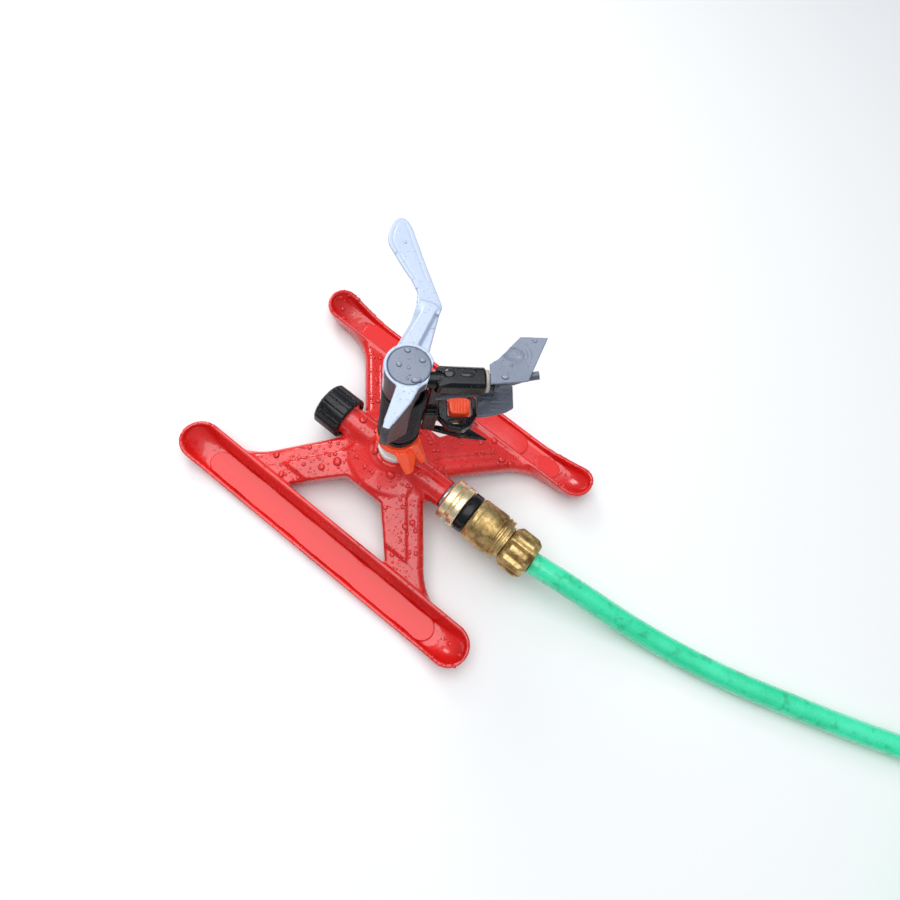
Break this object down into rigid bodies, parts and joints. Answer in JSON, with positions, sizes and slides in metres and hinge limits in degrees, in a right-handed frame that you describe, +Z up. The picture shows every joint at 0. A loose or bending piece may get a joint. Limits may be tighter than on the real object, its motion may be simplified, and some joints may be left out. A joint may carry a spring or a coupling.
{
  "type": "impulse lawn sprinkler",
  "caption": "Impulse lawn sprinkler: a bent silver swing arm over a black head on a red two-runner sled base, with brass quick connectors and a short green hose.",
  "frame": {"origin": "on the ground under the head's turning axis, midway between the runners", "axes": "+X from the hub along its tube towards the hose, +Y towards the far runner, +Z up"},
  "size_m": [0.8295, 0.2184, 0.1621],
  "materials": {
    "red_plastic": "satin moulded red plastic",
    "black_plastic": "satin black plastic",
    "grey_plastic": "satin grey plastic",
    "dark_grey_plastic": "dark grey plastic",
    "orange_plastic": "orange plastic",
    "white_nylon": "white nylon",
    "black_rubber": "matt rubber",
    "silver_paint": "satin silver, cast aluminium",
    "spring_steel": "stainless wire and turned parts",
    "pale_brass": "plated pale brass",
    "cast_brass": "cast brass, weathered",
    "green_hose": "translucent-skinned green hose",
    "hose_grip": "white nylon clamp ring"
  },
  "bodies": {
    "sled": {"sled_base": "red_plastic", "end_cap": "black_plastic", "end_cap_seal": "black_rubber", "inlet_washer": "spring_steel", "tap_adaptor": "pale_brass", "adaptor_seal": "black_rubber", "connector_core": "cast_brass", "hose_nut": "cast_brass", "hose_clamp_ring": "hose_grip", "connector_collar": "black_plastic", "locking_ring": "spring_steel", "sleeve_spring": "spring_steel", "hose": "green_hose", "hose_coil": "green_hose", "hose_tail": "green_hose", "far_connector_core": "cast_brass", "far_hose_nut": "cast_brass", "far_hose_clamp_ring": "hose_grip", "bearing_nipple": "white_nylon"},
    "head": {"spindle": "spring_steel", "spindle_washer": "black_rubber", "friction_spring": "spring_steel", "thrust_washer": "white_nylon", "body_casting": "black_plastic", "barrel_shroud": "black_plastic", "barrel_washer": "white_nylon", "nozzle": "dark_grey_plastic", "deflector_pin": "spring_steel", "button_frame": "black_plastic", "scale_plate": "dark_grey_plastic", "trip_pin": "spring_steel", "trip_spring": "spring_steel", "arm_spring": "black_plastic", "pivot_post": "spring_steel"},
    "arm": {"swing_arm": "silver_paint", "arm_bush": "white_nylon", "arm_cap": "grey_plastic"},
    "deflector": {"jet_deflector": "grey_plastic"},
    "button": {"circle_button": "orange_plastic"},
    "lever": {"trip_lever": "black_plastic"},
    "left_clip": {"sector_clip_left": "orange_plastic"},
    "right_clip": {"sector_clip_right": "orange_plastic"},
    "sleeve": {"connector_sleeve": "cast_brass"},
    "far_sleeve": {"far_connector_sleeve": "cast_brass"}
  },
  "joints": [
    {"name": "head_turn", "type": "hinge", "parent": "sled", "child": "head", "pos_m": [0, 0, 0.06], "axis": [0, 0, 1], "continuous": true},
    {"name": "arm_swing", "type": "hinge", "parent": "head", "child": "arm", "pos_m": [0, 0, 0.155], "axis": [0, 0, 1], "range_deg": [-87, 40]},
    {"name": "deflector_turn", "type": "hinge", "parent": "head", "child": "deflector", "pos_m": [0.0383, 0.03214, 0.156], "axis": [0, 0, 1], "range_deg": [0, 30]},
    {"name": "circle_button_slide", "type": "slide", "parent": "head", "child": "button", "axis": [-0.6428, 0.766, 0], "range_m": [0, 0.0025]},
    {"name": "trip_lever_turn", "type": "hinge", "parent": "head", "child": "lever", "pos_m": [0.03513, 0.02347, 0.082], "axis": [0, 0, 1], "range_deg": [-8, 8]},
    {"name": "left_clip_turn", "type": "hinge", "parent": "sled", "child": "left_clip", "pos_m": [0, 0, 0.064], "axis": [0, 0, 1], "range_deg": [-150, 0]},
    {"name": "right_clip_turn", "type": "hinge", "parent": "sled", "child": "right_clip", "pos_m": [0, 0, 0.0676], "axis": [0, 0, 1], "range_deg": [0, 150]},
    {"name": "sleeve_slide", "type": "slide", "parent": "sled", "child": "sleeve", "axis": [1, 0, 0], "range_m": [0, 0.0025], "stiffness_N_per_m": 800, "springref_m": -0.001},
    {"name": "far_sleeve_slide", "type": "slide", "parent": "sled", "child": "far_sleeve", "axis": [-0.9848, -0.1736, 0], "range_m": [0, 0.0025], "stiffness_N_per_m": 800, "springref_m": -0.001}
  ]
}
